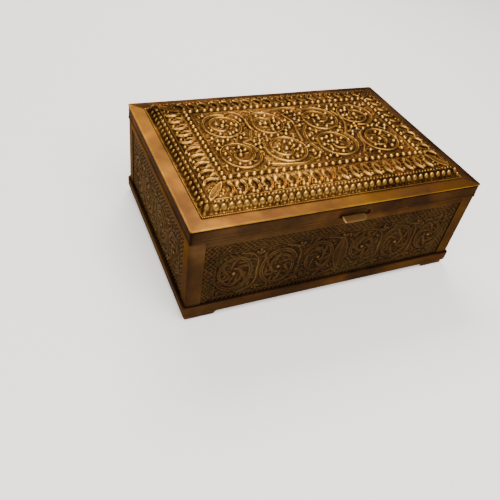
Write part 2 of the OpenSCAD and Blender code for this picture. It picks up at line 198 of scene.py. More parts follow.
def aged_metal(name, stops, rough, tint=(0.22, 0.075, 0.02), tint_share=0.35, wear=None, patchy=0.35,
               grit=0.5, brushed=0.0, grazing=GRAZING_TINT):
    """Old sheet brass: dark in the hollows and bright on what hands polish. The meshes carry `relief`, from 0
    in a hollow to 1 on a crest, with painted light and shade added on some pieces; `wear` stands for it on
    pieces that have none."""
    s = Surface(name)
    fine = s.noise(950, 5, 0.65)
    speck = s.noise(4300, 2)
    if wear is None:
        wear = s.node("ShaderNodeAttribute", {"attribute_name": "relief"}).outputs["Fac"]
    rubbed_and_painted_light = s.add(wear, s.swing(s.noise(24), patchy * 1.5))
    rubbed_and_painted_light = s.add(rubbed_and_painted_light, s.swing(s.noise(150, 4), patchy))
    crumbs = s.swing(fine, 0.22)
    rubbed_and_painted_light = s.add(rubbed_and_painted_light, crumbs, clamp=True)
    patch = s.spread(s.noise(55, 4), 0.52, 0.72, 0.0, tint_share)
    colour = s.mix(patch, s.ramp(rubbed_and_painted_light, stops), (*tint, 1.0))
    specks = s.spread(speck, 0.60, 0.76, 0.0, 0.35)
    height = s.add(s.times(speck, 0.25), fine)
    if brushed:
        lines = s.noise(260, 3, 0.7, s.stretched((1, 14, 14)))
        height = s.add(height, s.times(lines, brushed))
    return s.finish({
        "Base Color": s.mix(specks, colour, (*stops[0][1], 1.0)),
        "Roughness": s.add(s.spread(rubbed_and_painted_light, 0.1, 0.9, *rough), s.times(crumbs, 0.6), clamp=True),
        "Metallic": s.spread(rubbed_and_painted_light, 0.05, 0.55, 0.80, 1.0),
        "Specular IOR Level": 0.25,
        "Specular Tint": (*grazing, 1.0),
    }, grit, 0.00016, height)


def oiled_wood(name, stretch):
    """Reddish cedar; its grain runs along the axis that isn't stretched."""
    s = Surface(name)
    along = s.stretched(stretch)
    pores = s.noise(240, 3, 0.7, along)
    mixed = s.add(s.times(s.noise(18, 2), 0.35), s.times(s.noise(26, 6, 0.6, along), 0.65))
    dark = s.spread(pores, 0.56, 0.72, 0.0, 0.55)
    return s.finish({
        "Base Color": s.mix(dark, s.ramp(mixed, CEDAR_STOPS), (0.045, 0.018, 0.009, 1.0)),
        "Roughness": s.spread(pores, 0.3, 0.7, 0.42, 0.66),
    }, 0.35, 0.0002, pores)


RELIEF_STOPS = ((0.10, (0.010, 0.004, 0.001)), (0.36, (0.090, 0.040, 0.009)),
                (0.58, (0.285, 0.138, 0.028)), (0.88, (0.640, 0.360, 0.085)))
BORDER_STOPS = ((0.05, (0.022, 0.009, 0.004)), (0.40, (0.104, 0.047, 0.017)),
                (0.62, (0.172, 0.080, 0.018)), (0.95, (0.390, 0.196, 0.024)))
SIDE_STOPS = ((0.12, (0.006, 0.003, 0.001)), (0.42, (0.031, 0.015, 0.006)),
              (0.66, (0.073, 0.037, 0.013)), (0.95, (0.180, 0.098, 0.033)))
TRIM_STOPS = ((0.05, (0.008, 0.003, 0.002)), (0.42, (0.042, 0.021, 0.009)),
              (0.66, (0.080, 0.042, 0.018)), (0.98, (0.270, 0.152, 0.056)))
# The thumb lift's stops are far brighter than the border's: painted light for the lift's lit face
LIFT_PAINTED_LIGHT_STOPS = ((0.10, (0.020, 0.010, 0.004)), (0.45, (0.130, 0.074, 0.026)),
              (0.70, (0.235, 0.142, 0.050)), (0.95, (0.780, 0.560, 0.230)))
HINGE_STOPS = ((0.1, (0.060, 0.035, 0.012)), (0.5, (0.330, 0.215, 0.080)), (0.9, (0.640, 0.460, 0.190)))
STEEL_STOPS = ((0.1, (0.080, 0.060, 0.045)), (0.5, (0.260, 0.245, 0.230)), (0.9, (0.520, 0.510, 0.490)))
CEDAR_STOPS = ((0.34, (0.034, 0.013, 0.006)), (0.50, (0.095, 0.038, 0.016)), (0.66, (0.160, 0.074, 0.032)))

relief_brass = aged_metal("relief_brass", RELIEF_STOPS, (0.66, 0.27))
border_brass = aged_metal("border_brass", BORDER_STOPS, (0.58, 0.37), grit=0.35, patchy=0.30, brushed=0.5,
                          grazing=(0.60, 0.47, 0.32))
side_bronze = aged_metal("side_bronze", SIDE_STOPS, (0.68, 0.36), (0.050, 0.040, 0.012), patchy=0.30)
trim_bronze = aged_metal("trim_bronze", TRIM_STOPS, (0.60, 0.33), tint_share=0.20, grit=0.4, patchy=0.28,
                         brushed=0.4, grazing=(0.54, 0.44, 0.33))
# A brighter copy of the brass for the thumb lift: painted light
lift_brass_painted_light = aged_metal("lift_brass_painted_light", LIFT_PAINTED_LIGHT_STOPS, (0.70, 0.58), grit=0.4, patchy=0.2, brushed=0.4)
hinge_brass = aged_metal("hinge_brass", HINGE_STOPS, (0.55, 0.28), wear=0.5)
steel = aged_metal("steel", STEEL_STOPS, (0.6, 0.35), (0.20, 0.09, 0.04), wear=0.5)
plate_bronze = aged_metal("plate_bronze", TRIM_STOPS, (0.62, 0.4), wear=0.42)
cedar_x = oiled_wood("cedar_x", (1, 9, 9))
cedar_y = oiled_wood("cedar_y", (9, 1, 9))

# Body, material slot and material of each kind of piece
LID_RELIEF = ("lid", "relief_brass", relief_brass)
LID_BORDER = ("lid", "border_brass", border_brass)
LID_TRIM = ("lid", "side_bronze", trim_bronze)
LID_LIFT = ("lid", "border_brass", lift_brass_painted_light)
BOX_SHEET = ("box", "side_bronze", side_bronze)
BOX_TRIM = ("box", "trim_bronze", trim_bronze)


# ---- canvas on which raised ornament is drawn ----
class Canvas:
    """Heights in millimetres on an even grid over a rectangle."""

    def __init__(self, low, high, pitch):
        self.pitch = pitch
        self.x = np.arange(low[0], high[0] + pitch, pitch)
        self.y = np.arange(low[1], high[1] + pitch, pitch)
        self.h = np.zeros((len(self.y), len(self.x)))

    def window(self, low, high):
        """The part of the grid between two corners: its slices and its coordinates."""
        i0, i1 = np.searchsorted(self.x, (low[0], high[0]))
        j0, j1 = np.searchsorted(self.y, (low[1], high[1]))
        here = (slice(j0, j1), slice(i0, i1))
        return here, *np.meshgrid(self.x[i0:i1], self.y[j0:j1])

    def stroke(self, points, width, height, groove=0.0):
        """A raised line: half-width and height in mm, each one number or one for each point.
        A groove down the middle turns it into a double line."""
        points = np.asarray(points, float)
        width = np.broadcast_to(np.asarray(width, float), len(points))
        pad = width.max()
        here, gx, gy = self.window(points.min(0) - pad, points.max(0) + pad)
        if gx.size == 0:
            return
        ratio = np.full(gx.shape, 9.0)
        for a, b, wa, wb in zip(points[:-1], points[1:], width[:-1], width[1:]):
            step = b - a
            share = held(((gx - a[0]) * step[0] + (gy - a[1]) * step[1]) / max(step @ step, 1e-9))
            distance = np.hypot(gx - a[0] - share * step[0], gy - a[1] - share * step[1])
            ratio = np.minimum(ratio, distance / (wa + share * (wb - wa)))
        form = height * np.sqrt(held(1 - ratio**2)) - groove * np.exp(-((ratio / 0.34) ** 2))
        self.h[here] = np.where(ratio < 1, np.maximum(self.h[here], form), self.h[here])

    def twin(self, points, gap, width, height):
        """Two fine raised lines side by side, `gap` mm to either side of the points."""
        points = np.asarray(points, float)
        self.stroke(points, np.max(gap), height * 0.3)
        for side in (-1, 1):
            self.stroke(offset(points, side * np.reshape(gap, (-1, 1))), width, height)

    def free(self, x, y, radius):
        """True where nothing has been drawn yet within a radius."""
        here, gx, gy = self.window((x - radius, y - radius), (x + radius, y + radius))
        near = np.hypot(gx - x, gy - y) < radius
        return gx.size > 0 and self.h[here][near].max(initial=0) < 0.12

    def nearest(self, x, y, reach):
        """The nearest drawn point within reach, or None."""
        here, gx, gy = self.window((x - reach, y - reach), (x + reach, y + reach))
        distance = np.where(self.h[here] > 0.4, np.hypot(gx - x, gy - y), np.inf)
        k = distance.argmin()
        if not np.isfinite(distance.flat[k]):
            return None
        return np.array((gx.flat[k], gy.flat[k]))

    def bead(self, x, y, rx, ry, height, turn=0.0):
        """An oval bead; `turn` is in degrees."""
        reach = max(rx, ry)
        here, gx, gy = self.window((x - reach, y - reach), (x + reach, y + reach))
        c, s = math.cos(math.radians(turn)), math.sin(math.radians(turn))
        u = ((gx - x) * c + (gy - y) * s) / rx
        v = (-(gx - x) * s + (gy - y) * c) / ry
        form = height * np.sqrt(held(1 - u**2 - v**2))
        self.h[here] = np.maximum(self.h[here], form)


def sample(field, canvas, x, y):
    """A field of the canvas at any points, between the grid's own."""
    fx = np.clip((x - canvas.x[0]) / canvas.pitch, 0, len(canvas.x) - 1.001)
    fy = np.clip((y - canvas.y[0]) / canvas.pitch, 0, len(canvas.y) - 1.001)
    i, j = fx.astype(int), fy.astype(int)
    u, v = fx - i, fy - j
    return ((1 - u) * (1 - v) * field[j, i] + u * (1 - v) * field[j, i + 1]
            + (1 - u) * v * field[j + 1, i] + u * v * field[j + 1, i + 1])


def blurred(field, sigma):
    """A Gaussian blur; sigma is in grid steps."""
    reach = int(3 * sigma) + 1
    taps = np.exp(-0.5 * (np.arange(-reach, reach + 1) / sigma) ** 2)
    taps /= taps.sum()
    for axis in (0, 1):
        wide = np.pad(field, [(reach, reach) if k == axis else (0, 0) for k in (0, 1)], mode="edge")
        length = field.shape[axis]
        field = sum(t * np.take(wide, range(k, k + length), axis) for k, t in enumerate(taps))
    return field


def ripple(x, y, size, seed):
    """A smooth random surface of about unit height, with waves `size` mm across."""
    rng = np.random.default_rng(seed)
    total = np.zeros(np.broadcast(x, y).shape)
    for _ in range(10):
        kx, ky = rng.normal(0, 1.5 / size, 2)
        total += np.sin(kx * x + ky * y + rng.uniform(0, 2 * math.pi))
    return total / math.sqrt(10)


# ---- meshes ----
def new_object(name, mesh):
    obj = bpy.data.objects.new(name, mesh)
    bpy.context.scene.collection.objects.link(obj)
    return obj


def solid(name, verts, quads, caps, relief, kind, replaces=(), sharp=55):
    """A closed mesh from vertices in mm, quads and larger end faces. `kind` is its body, slot and
    material, and `replaces` names the CAD nodes that it stands for."""
    body, slot, material = kind
    tris = np.concatenate([quads[:, [0, 1, 2]], quads[:, [0, 2, 3]]]
                          + [np.array([(c[0], c[k], c[k + 1]) for k in range(1, len(c) - 1)]) for c in caps])
    a, b, c = (verts[tris[:, k]] for k in range(3))
    faces = [list(f) for f in quads.tolist()] + [list(map(int, cap)) for cap in caps]
    if np.einsum("ij,ij->i", a, np.cross(b, c)).sum() < 0:
        faces = [f[::-1] for f in faces]
    mesh = bpy.data.meshes.new(name)
    mesh.from_pydata((verts * MM).tolist(), [], faces)
    mesh.polygons.foreach_set("use_smooth", np.ones(len(faces), bool))
    mesh.set_sharp_from_angle(angle=math.radians(sharp))
    # The relief attribute: tone from hollow to crest, with the painted light and shade that some pieces add
    # to it
    attribute = mesh.attributes.new("relief", "FLOAT", "POINT")
    attribute.data.foreach_set("value", np.asarray(relief, np.float32).ravel())
    mesh.materials.append(material)
    obj = new_object(name, mesh)
    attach(obj, body)
    if replaces:
        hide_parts(*replaces)
    return obj


def sheet_solid(name, face, back_axis, back_at, relief, kind, replaces=()):
    """A closed sheet: `face` is a grid of points (rows, columns, 3), and its back is flat."""
    rows, cols = face.shape[:2]
    index = np.arange(rows * cols).reshape(rows, cols)
    quads = np.stack([index[:-1, :-1], index[:-1, 1:], index[1:, 1:], index[1:, :-1]], -1).reshape(-1, 4)
    ring = np.concatenate([index[0, :-1], index[:-1, -1], index[-1, :0:-1], index[:0:-1, 0]])
    edge = face.reshape(-1, 3)[ring].copy()
    edge[:, back_axis] = back_at
    under = rows * cols + np.arange(len(ring))
    sides = np.stack([ring, under, np.roll(under, -1), np.roll(ring, -1)], -1)
    verts = np.concatenate([face.reshape(-1, 3), edge])
    wear = np.concatenate([relief.ravel(), np.full(len(ring), 0.3)])
    solid(name, verts, np.concatenate([quads, sides]), [under], wear, kind, replaces)


def sweep(name, stations, relief, kind, replaces, sharp=55):
    """A closed bar from stations (number of stations, points round the section, 3)."""
    index = np.arange(stations[..., 0].size).reshape(stations.shape[:2])
    nxt = np.roll(index, -1, axis=1)
    quads = np.stack([index[:-1], nxt[:-1], nxt[1:], index[1:]], -1).reshape(-1, 4)
    caps = [index[0][::-1], index[-1]]
    return solid(name, stations.reshape(-1, 3), quads, caps, relief, kind, [replaces], sharp)


def to_side(side, u, v):
    """World x and y of a point u along a side, to the right seen from outside, and v out from the middle."""
    return {"front": (u, -v), "right": (v, u), "back": (-u, v), "left": (-v, -u)}[side]


def mitred(side, section, half_x, half_y, radius, step=2.0, arc=6):
    """Stations of a moulding along one side, mitred at 45 degrees inside round corners.
    The section is a closed list of (distance in from the edge, height)."""
    along, out = (half_x, half_y) if side in LONG else (half_y, half_x)
    columns = []
    count = int(2 * along / step)
    for inset, z in section:
        r = max(radius - inset, 0.04)
        cx, cy = along - inset - r, out - inset - r
        bend = np.radians(np.linspace(135, 90, arc + 1))
        left = joined(-cx + r * np.cos(bend), cy + r * np.sin(bend))
        middle = joined(np.linspace(-cx, cx, count)[1:-1], cy + r)
        right = left[::-1] * (-1, 1)
        u, v = np.concatenate([left, middle, right]).T
        columns.append(joined(*to_side(side, u, v), z))
    return np.stack(columns, 1)


def rounded_section(corners, radii, steps, gap):
    """A closed section with each corner rounded by its own radius, and with points added so that none
    are further apart than `gap`."""
    corners = [np.array(c, float) for c in corners]
    bends = []
    for k, (corner, radius) in enumerate(zip(corners, radii)):
        before = corners[k - 1] - corner
        after = corners[(k + 1) % len(corners)] - corner
        if radius <= 0:
            bends.append(corner)
            continue
        start = corner + before / np.linalg.norm(before) * radius
        end = corner + after / np.linalg.norm(after) * radius
        for t in np.linspace(0, 1, steps + 1):
            bends.append((1 - t) ** 2 * start + 2 * t * (1 - t) * corner + t**2 * end)
    points = []
    for a, b in zip(bends, bends[1:] + bends[:1]):
        count = max(1, int(np.ceil(np.linalg.norm(b - a) / gap)))
        points += [a + (b - a) * k / count for k in range(count)]
    return points


def push_in(stations, side, distance):
    """Moves the stations of one side inwards."""
    inward = {"front": (0, 1), "right": (-1, 0), "back": (0, -1), "left": (1, 0)}[side]
    for axis in (0, 1):
        stations[..., axis] += inward[axis] * distance


# ---- the lid's raised panel ----
def band_point(side, s, inset):
    """World x and y of a point s along a side of the panel and `inset` in from its foot."""
    if side in LONG:
        return to_side(side, s, FOOT_Y - inset * BAND_STRETCH)
    return to_side(side, s, FOOT_X - inset)


def band_length(side, inset):
    if side in LONG:
        return 2 * (FOOT_X - inset)
    return 2 * (FOOT_Y - inset * BAND_STRETCH)


def row_places(side, inset, pitch, margin):
    """Evenly spaced places along a row, kept `margin` clear of its two ends."""
    length = band_length(side, inset) - 2 * margin
    count = max(2, int(round(length / pitch)))
    return (np.arange(count) + 0.5) / count * length - length / 2


def curve(points, steps=10):
    """A smooth line through points (Catmull-Rom)."""
    points = np.asarray(points, float)
    ends = np.concatenate([[2 * points[0] - points[1]], points, [2 * points[-1] - points[-2]]])
    out = []
    for a, b, c, d in zip(ends[:-3], ends[1:-2], ends[2:-1], ends[3:]):
        for t in np.linspace(0, 1, steps, endpoint=False):
            out.append(0.5 * (2 * b + (c - a) * t + (2 * a - 5 * b + 4 * c - d) * t**2
                              + (3 * b - a - 3 * c + d) * t**3))
    out.append(points[-1])
    return np.array(out)


def spiral(cx, cy, rx, ry, start, turns, sense):
    """A stem that runs round the edge of an oval and then coils in; degrees, sense 1 or -1."""
    share = np.linspace(0, 1, int(34 * turns) + 2)
    angle = np.radians(start) + sense * 2 * math.pi * turns * share
    reach = np.interp(share, [0, 0.5, 0.72, 1], [1.0, 0.9, 0.62, 0.24])
    reach = np.convolve(np.pad(reach, 4, mode="edge"), np.ones(9) / 9, mode="valid")
    return joined(cx + rx * reach * np.cos(angle), cy + ry * reach * np.sin(angle))


def offset(line, away):
    """The line moved sideways by `away` mm, to its left."""
    along = np.gradient(line, axis=0)
    along /= np.maximum(np.linalg.norm(along, axis=1, keepdims=True), 1e-6)
    return line + joined(-along[:, 1], along[:, 0]) * away


def stem(canvas, line, side, height):
    """A raised stem with a finer line running along one side of it."""
    canvas.stroke(line, 0.52, height)
    canvas.stroke(offset(line, side * 1.15), 0.34, height * 0.62)


def fill_with_buds(canvas, low, high, tries, radius, height, rng):
    """Puts buds on short stalks wherever the ground is still bare."""
    for _ in range(tries):
        x, y = rng.uniform(low, high)
        size = radius * rng.uniform(0.85, 1.12)
        if not canvas.free(x, y, size + 0.45):
            continue
        root = canvas.nearest(x, y, size * 4.2)
        canvas.bead(x, y, size, size * rng.uniform(0.82, 1.0), height * rng.uniform(0.95, 1.25),
                    rng.uniform(0, 180))
        if root is not None:
            bend = (root + (x, y)) / 2 + rng.uniform(-0.7, 0.7, 2)
            canvas.stroke(curve([root, bend, (x, y)], 5), 0.42, height * 0.62)


def fill_with_leaves(canvas, low, high, tries, length, height, rng):
    """Lays small pointed leaves where there is still room for one."""
    for _ in range(tries):
        x, y = rng.uniform(low, high)
        if not canvas.free(x, y, length * 0.34):
            continue
        turn = rng.uniform(0, math.pi)
        reach = length / 2 * np.array((math.cos(turn), math.sin(turn)))
        hook = length * 0.18 * np.array((-math.sin(turn), math.cos(turn))) * rng.choice((-1, 1))
        spine = curve([(x, y) - reach, (x, y) + hook, (x, y) + reach], 5)
        width = 0.12 + length * 0.17 * np.sin(np.linspace(0.1, math.pi - 0.1, len(spine)))
        canvas.stroke(spine, width, height * 0.85, groove=height * 0.3)


def sprig(canvas, x, y, turn, size, height):
    """Three drop-shaped petals from one point."""
    for swing, length in ((-42, 0.9), (0, 1.15), (42, 0.9)):
        angle = math.radians(turn + swing)
        tip = (x + math.cos(angle) * size * length, y + math.sin(angle) * size * length)
        canvas.stroke([(x, y), tip], [size * 0.1, size * 0.3], height * 0.9)
        canvas.bead(*tip, size * 0.34, size * 0.3, height * 1.1, turn + swing)


def frieze_leaf(canvas, side, s, pitch, lean):
    """One cell of the frieze: a curved double stem, a slanting drop beside its inner end, a curl with a
    ball beside its outer end, and a few flecks."""
    def at(ds, inset):
        return band_point(side, s + ds * lean, inset)
    line = curve([at(-2.3, 7.5), at(-0.5, 8.6), at(0.8, 10.8), at(1.0, 13.4), at(-0.4, 16.6)], 6)
    canvas.twin(line, np.interp(np.linspace(0, 1, len(line)), [0, 0.5, 1], [0.4, 0.66, 0.5]), 0.42, 1.55)
    half = pitch / 2
    drop = curve([at(half + 1.2, 15.7), at(half + 0.6, 14.6), at(half - 0.3, 13.2)], 5)
    canvas.stroke(drop, np.linspace(2.0, 1.1, len(drop)), 0.65)
    canvas.stroke(drop, np.linspace(1.3, 0.55, len(drop)), 1.0, groove=0.3)
    curl = curve([at(half - 2.0, 8.8), at(half - 1.5, 10.6), at(half + 0.2, 11.4), at(half + 1.5, 10.4)], 5)
    canvas.stroke(curl, 0.36, 0.75)
    canvas.bead(*at(half + 0.1, 8.7), 1.25, 1.25, 1.25)
    for ds, inset in ((half - 2.3, 15.6), (half - 1.7, 13.4), (half + 0.5, 12.3), (half - 1.1, 16.9)):
        canvas.bead(*at(ds, inset), 0.55, 0.55, 0.85)


def ticks(canvas, side, inset, tall, pitch, margin, height, slant=0.2):
    """A close row of short strokes across a band, like a rope."""
    for s in row_places(side, inset, pitch, margin):
        a = band_point(side, s - slant, inset - tall / 2)
        b = band_point(side, s + slant, inset + tall / 2)
        canvas.stroke([a, b], pitch * 0.33, height)


# Beads of the outer row for each pitch: place along it, distance in, half-lengths, height (mm)
LONG_BEADS = ((0, 2.55, 1.75, 1.2, 1.55), (-0.3, 0.95, 0.85, 0.35, 0.5), (2.3, 1.7, 0.45, 0.45, 0.6),
              (0.1, 5.2, 0.8, 0.7, 0.95), (2.4, 5.0, 0.75, 0.7, 0.85))
SHORT_BEADS = ((0, 2.05, 1.25, 0.85, 1.3), (2.35, 4.4, 1.2, 0.95, 1.25), (2.3, 1.1, 0.45, 0.4, 0.5),
               (0.1, 4.1, 0.6, 0.5, 0.6))


def draw_lid():
    """Heights of the lid's ornament over its plain raised form."""
    canvas = Canvas((-FOOT_X - 0.4, -FOOT_Y - 0.4), (FOOT_X + 0.4, FOOT_Y + 0.4), 0.2)
    rng = np.random.default_rng(11)
    for side in SIDES:
        long_side = side in LONG
        for s in row_places(side, 2.8, 4.62 if long_side else 4.7, 3.6):
            s += rng.normal(0, 0.1)
            for ds, inset, along, across, tall in LONG_BEADS if long_side else SHORT_BEADS:
                tall *= 0.55 if side == "right" else 1.0
                size = (along, across) if long_side else (across, along)
                canvas.bead(*band_point(side, s + ds, inset), *size, tall * rng.uniform(0.94, 1.06))
        ticks(canvas, side, 17.9, 0.9, 1.15, 1.5, 0.6)
        for inset, width, height in ((6.6, 0.32, 0.5) if long_side else (6.5, 0.42, 0.85),
                                     (17.2, 0.36, 0.6), (22.4, 0.36, 0.55), (23.4, 0.3, 0.4)):
            reach = band_length(side, inset) / 2
            canvas.stroke([band_point(side, end, inset) for end in (-reach, reach)], width, height)
        for s in row_places(side, 20.2, 4.85, 1.6):
            place = band_point(side, s + rng.normal(0, 0.1), 20.1)
            canvas.bead(*place, 1.95, 1.6, 1.75, 30 if long_side else 60)
            canvas.bead(*band_point(side, s + 2.4, 20.1), 0.5, 0.5, 0.7)
        places = row_places(side, 12, 7.9, 5.2)
        for s in places:
            frieze_leaf(canvas, side, s, places[1] - places[0], 1 if s < 0 else -1)
    for sx, sy in CORNERS:
        def diagonal(inset):
            return np.array((sx * (FOOT_X - inset), sy * (FOOT_Y - inset * BAND_STRETCH)))
        spine = np.array([diagonal(t) for t in np.linspace(6.6, 17.0, 15)])
        width = 0.15 + 2.0 * np.sin(np.linspace(0.12, math.pi - 0.05, 15)) ** 0.8
        canvas.stroke(spine, width, 0.4)
        canvas.stroke(spine, 0.3, 0.75)
        for flip in (-1, 1):
            canvas.stroke(offset(spine, flip * width[:, None]), 0.32, 0.95)
        for inset, size in ((3.4, 1.6), (1.7, 1.0), (20.1, 1.8)):
            canvas.bead(*diagonal(inset), size, size, 1.2)
        low = np.array((sx * (FOOT_X - 16.5), sy * (FOOT_Y - 17.5)))
        high = np.array((sx * (FOOT_X - 7.2), sy * (FOOT_Y - 7.8)))
        fill_with_buds(canvas, np.minimum(low, high), np.maximum(low, high), 160, 0.85, 0.9, rng)
    draw_field(canvas, rng)
    return canvas


# Scrolls of the middle field: centre, radii, start angle, turns, sense (mm and degrees)
FIELD_SCROLLS = (
    (-51, 16.4, 13.6, 14.4, 65, 1.75, 1), (-20.8, 15.4, 13.4, 14.6, 205, 1.6, -1),
    (20, 15.2, 14, 14.8, 130, 1.65, -1), (49.8, 16.6, 13.4, 14.2, 250, 1.7, 1),
    (-51.6, -17.2, 13.4, 14.4, 60, 1.75, -1), (-19.8, -15.8, 14.4, 14.8, 150, 1.6, 1),
    (17.6, -15.4, 14.6, 15, 40, 1.6, -1), (50.4, -16.8, 13.4, 14.4, 120, 1.7, 1),
)
# Stems that link one scroll to the next
FIELD_LINKS = (
    ((-45.5, 29.5), (-39, 32.4), (-34, 26), (-33, 9)),
    ((-45, -4.8), (-38, -1.5), (-35.5, 4), (-33.5, 8.5)),
    ((-5, 25), (-1.5, 14), (-3.5, 3), (-5.5, -9)),
    ((2.5, -24), (-0.5, -12), (1.5, 0), (6.5, 8)),
    ((34.5, 24), (37, 12), (34, 2), (29.5, -5.5)),
    ((43.5, -4.4), (37, -10), (35.5, -20), (31, -28)),
    ((-7, -28.5), (-14, -32.6), (-26, -32), (-36, -30)),
    ((9, 31), (0, 33), (-10, 31.6), (-17, 30.4)),
)


def draw_field(canvas, rng):
    height = 1.15
    for cx, cy, rx, ry, start, turns, sense in FIELD_SCROLLS:
        stem(canvas, spiral(cx, cy, rx, ry, start, turns, sense), sense, height)
        canvas.bead(cx, cy, 1.68, 1.68, height * 1.45)
        for k in range(9):
            angle = math.radians(start) + sense * (0.35 + k * 0.68)
            place = np.array((cx + 0.7 * rx * math.cos(angle), cy + 0.7 * ry * math.sin(angle)))
            if canvas.free(*place, 1.15):
                root = canvas.nearest(*place, 5.0)
                canvas.bead(*place, 1.45, 1.35, height * 1.5)
                if root is not None:
                    canvas.stroke([root, place], 0.4, height * 0.6)
    for link in FIELD_LINKS:
        stem(canvas, curve(link, 9), 1, height * 0.95)
    low, high = (-66.0, -33.8), (66.0, 33.8)
    fill_with_buds(canvas, low, high, 900, 1.4, height * 1.4, rng)
    fill_with_leaves(canvas, low, high, 900, 3.2, height * 0.8, rng)
    fill_with_buds(canvas, low, high, 500, 0.55, height * 0.5, rng)


def finish_canvas(canvas, ground, punch, soft=1.1, wide=6.0, gain=0.75, seed=3):
    """Softens the drawing, punches its ground, and works out where it is hollow or proud (0 to 1)."""
    gx, gy = np.meshgrid(canvas.x, canvas.y)
    rng = np.random.default_rng(seed)
    grain = blurred(rng.normal(0, 1, canvas.h.shape), 1.3)
    grain /= grain.std()
    open_ground = held(1 - canvas.h / 0.45)
    h = blurred(canvas.h, soft)
    h = h + open_ground * grain * punch - ground
    lift = h - blurred(h, wide)
    relief = held(0.42 + lift * gain + 0.1 * (h + ground - 0.4))
    h = h + 0.05 * ripple(gx, gy, 18, seed + 1)
    return h, relief


def build_lid_panel():
    canvas = draw_lid()
    h, relief = finish_canvas(canvas, ground=0.4, punch=0.09, soft=0.85, gain=0.6)

    def build(name, x, y):
        inset = np.minimum(FOOT_X - np.abs(x), (FOOT_Y - np.abs(y)) / BAND_STRETCH)
        plain = np.interp(inset, *RAISED_LINE)
        z = BORDER_Z + plain + sample(h, canvas, x, y) * held(inset / 0.8)
        # Painted light and shade: the front band is painted brighter towards the left, and the back band, the
        # right half and most of all the right band are painted darker
        rubbed_and_painted_light = 1 + 0.3 * held((-y - 36) / 8) * held((20 - x) / 60)
        painted_shade = 0.12 * held((y - 34) / 8) + 0.05 * held((x + 10) / 40)
        painted_shade = np.maximum(painted_shade, 0.15 * held((x - 66) / 8))
        wear = sample(relief, canvas, x, y) * rubbed_and_painted_light - painted_shade
        sheet_solid(name, joined(x, y, z), 2, STRIP_BOTTOM + 0.02, wear, LID_RELIEF, ["lid_relief"])

    bands = np.concatenate([np.linspace(0, STEP_END, 31)[:-1], np.linspace(STEP_END, FIELD_EDGE, 62)])
    for side in SIDES:
        count = 600 if side in LONG else 420
        rows = []
        for inset in bands:
            half = band_length(side, inset) / 2
            x, y = band_point(side, np.linspace(-half, half, count), inset)
            rows.append(np.broadcast_arrays(x, y))
        build(f"raised_band_{side}", *np.stack(rows, 1))
    x, y = FOOT_X - FIELD_EDGE, FOOT_Y - FIELD_EDGE * BAND_STRETCH
    build("scroll_field", *np.meshgrid(np.linspace(-x, x, 424), np.linspace(-y, y, 220)))


# ---- lid border: four strips of sheet, a little uneven, with a turned edge ----
def build_border():
    low, top = STRIP_BOTTOM, BORDER_Z
    corners = [(0.1, low), (0.0, top), (10.0, top - 0.06), (12.4, top - 0.06), (12.4, low)]
    section = rounded_section(corners, [0.25, 0.38, 0, 0, 0], 5, 1.1)
    for side in SIDES:
        stations = mitred(side, section, HALF_W, HALF_D, BORDER_RADIUS, step=1.6)
        x, y, z = np.moveaxis(stations, -1, 0)
        inset = np.minimum(HALF_W - np.abs(x), HALF_D - np.abs(y))
        dents = 0.05 * ripple(x, y, 16, 21) + 0.1 * ripple(x, y, 42, 22) * held(1 - inset / 9.5)
        stations[..., 2] = z + np.minimum(dents, 0.12) * held((z - low) / (top - low))
        # Painted light and shade by side: the right and back strips are painted darker, the right one most at
        # its outer edge and the back one towards the right; the front strip is painted darker at its left
        # end; the left strip goes from painted shade at the front to painted light at the back
        rear = y / HALF_D + 1
        shade = {"front": 0.03 + 0.05 * held(-x / 40 - 1.5),
                 "right": 0.3 + 0.2 * held(1.6 - inset / 2.5),
                 "back": 0.3 + 0.16 * held(x / HALF_W + 0.6),
                 "left": 0.08 + 0.07 * held(rear / 0.4) - 0.145 * rear}[side]
        wear = 0.5 + held(1 - inset / 0.9) * 0.3 + 0.08 * ripple(x, y, 20, 23) \
            + 0.05 * ripple(x, y, 6, 24) - shade
        sweep(f"border_strip_{side}", stations, wear, LID_BORDER, f"lid_border_{side}")


def build_milled_wire():
    """Wire with close slanting notches, laid round the foot of the raised panel."""
    turns = np.radians(np.arange(0, 360, 40))
    section = [(0.45 + 0.45 * math.cos(a), BORDER_Z + 0.36 + 0.42 * math.sin(a)) for a in turns]
    for side in SIDES:
        stations = mitred(side, section, FOOT_X + WIRE_WIDTH, FOOT_Y + WIRE_WIDTH, WIRE_WIDTH, 0.32, 3)
        middle = stations.mean(1, keepdims=True)
        along = stations[..., 0 if side in LONG else 1]
        slant = np.linspace(0, 2 * math.pi, stations.shape[1], endpoint=False)
        twist = np.cos(along * 2 * math.pi / NOTCH_PITCH + slant[None, :])
        stations = middle + (stations - middle) * (0.9 + 0.14 * twist)[..., None]
        sweep(f"milled_wire_{side}", stations, 0.52 + 0.28 * twist, LID_RELIEF, "lid_milled_wire", 80)


# ---- skirts of the lid ----
def boolean_cut(obj, cutters):
    """Cuts closed meshes out of obj, then removes them."""
    for cutter in cutters:
        modifier = obj.modifiers.new("cut", "BOOLEAN")
        modifier.operation = "DIFFERENCE"
        modifier.solver = "EXACT"
        modifier.object = cutter
        bpy.context.view_layer.objects.active = obj
        bpy.ops.object.modifier_apply(modifier=modifier.name)
        bpy.data.objects.remove(cutter)


